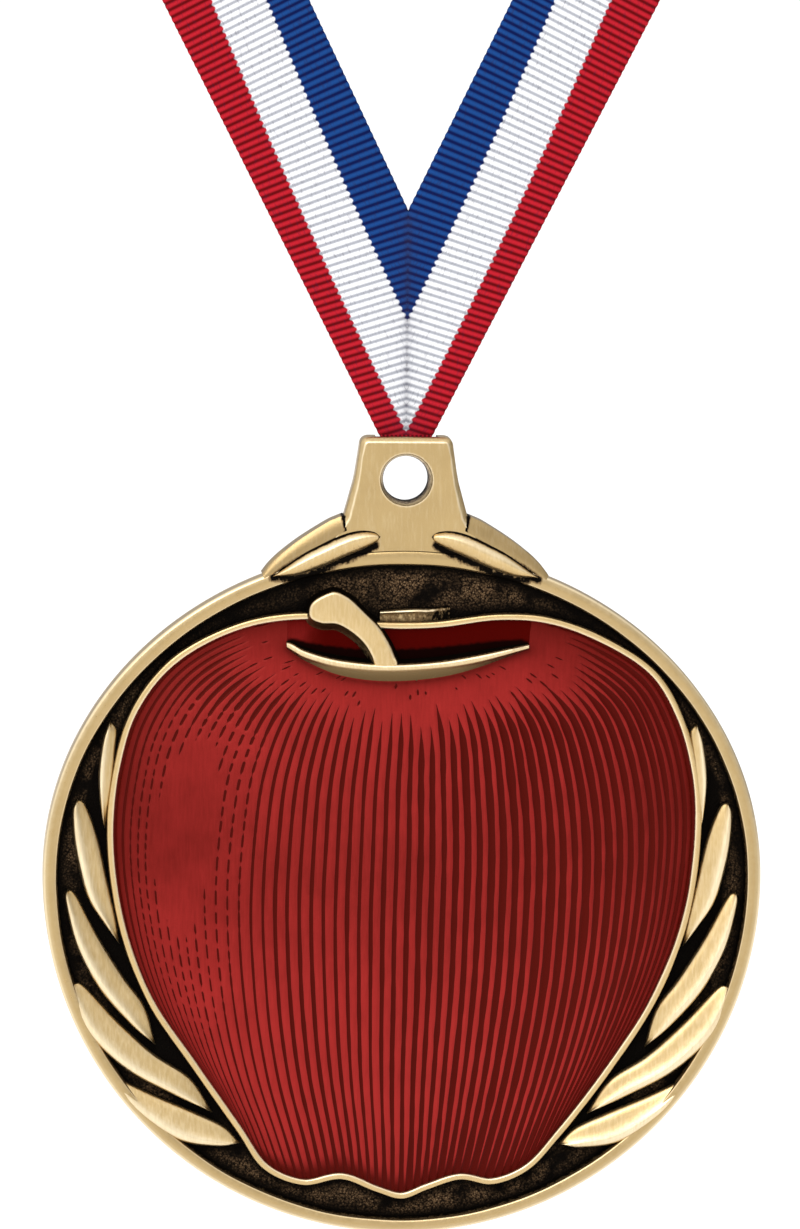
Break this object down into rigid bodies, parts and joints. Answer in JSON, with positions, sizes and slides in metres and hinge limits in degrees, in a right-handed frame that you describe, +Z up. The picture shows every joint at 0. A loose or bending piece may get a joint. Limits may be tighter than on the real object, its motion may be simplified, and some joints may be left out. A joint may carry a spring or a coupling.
{
  "type": "medal",
  "caption": "Round gold award medal with a red enamel apple between laurels, hung on a pin from a striped neck ribbon.",
  "frame": {"origin": "midway between the middles of the two hanging loops at the ribbon's ends", "axes": "+Z up, -Y out of the medal's face, +X to the right of someone who looks at the face"},
  "size_m": [0.07, 0.006, 0.1338],
  "materials": {
    "brushed_gold": "fine brushed gold plate with antiqued edges",
    "polished_gold": "polished pale gold plate",
    "antiqued_gold": "gold plate, pebbled and blackened in the sunk field",
    "engraving_plate": "satin gold-anodised",
    "pin_steel": "satin",
    "red_enamel": "clear red soft enamel over engraved lines, glossy",
    "ribbon": "ribbed grosgrain in red, white and blue stripes",
    "thread": "twisted sewing thread"
  },
  "bodies": {
    "ribbon": {"ribbon_left": "ribbon", "ribbon_right": "ribbon", "ribbon_fold": "ribbon", "seam_stitching": "thread", "hem_stitching_left": "thread", "hem_stitching_right": "thread"},
    "medal": {"base_plate": "antiqued_gold", "engraving_plate": "engraving_plate", "suspension_pin": "pin_steel", "apple_enamel": "red_enamel", "outer_rim": "polished_gold", "apple_border": "polished_gold", "stem_cavity_edge": "polished_gold", "hanger_tab": "brushed_gold", "apple_stem": "brushed_gold", "stem_cavity_lip": "brushed_gold", "shoulder_leaf_left": "brushed_gold", "shoulder_leaf_right": "brushed_gold", "laurel_leaf_left_1": "brushed_gold", "laurel_leaf_left_2": "brushed_gold", "laurel_leaf_left_3": "brushed_gold", "laurel_leaf_left_4": "brushed_gold", "laurel_leaf_left_5": "brushed_gold", "laurel_leaf_right_1": "brushed_gold", "laurel_leaf_right_2": "brushed_gold", "laurel_leaf_right_3": "brushed_gold", "laurel_leaf_right_4": "brushed_gold", "laurel_leaf_right_5": "brushed_gold"}
  },
  "joints": [
    {"name": "medal_swing", "type": "hinge", "parent": "ribbon", "child": "medal", "pos_m": [0, 0, -0.05101], "axis": [1, 0, 0], "range_deg": [-35, 40]}
  ]
}
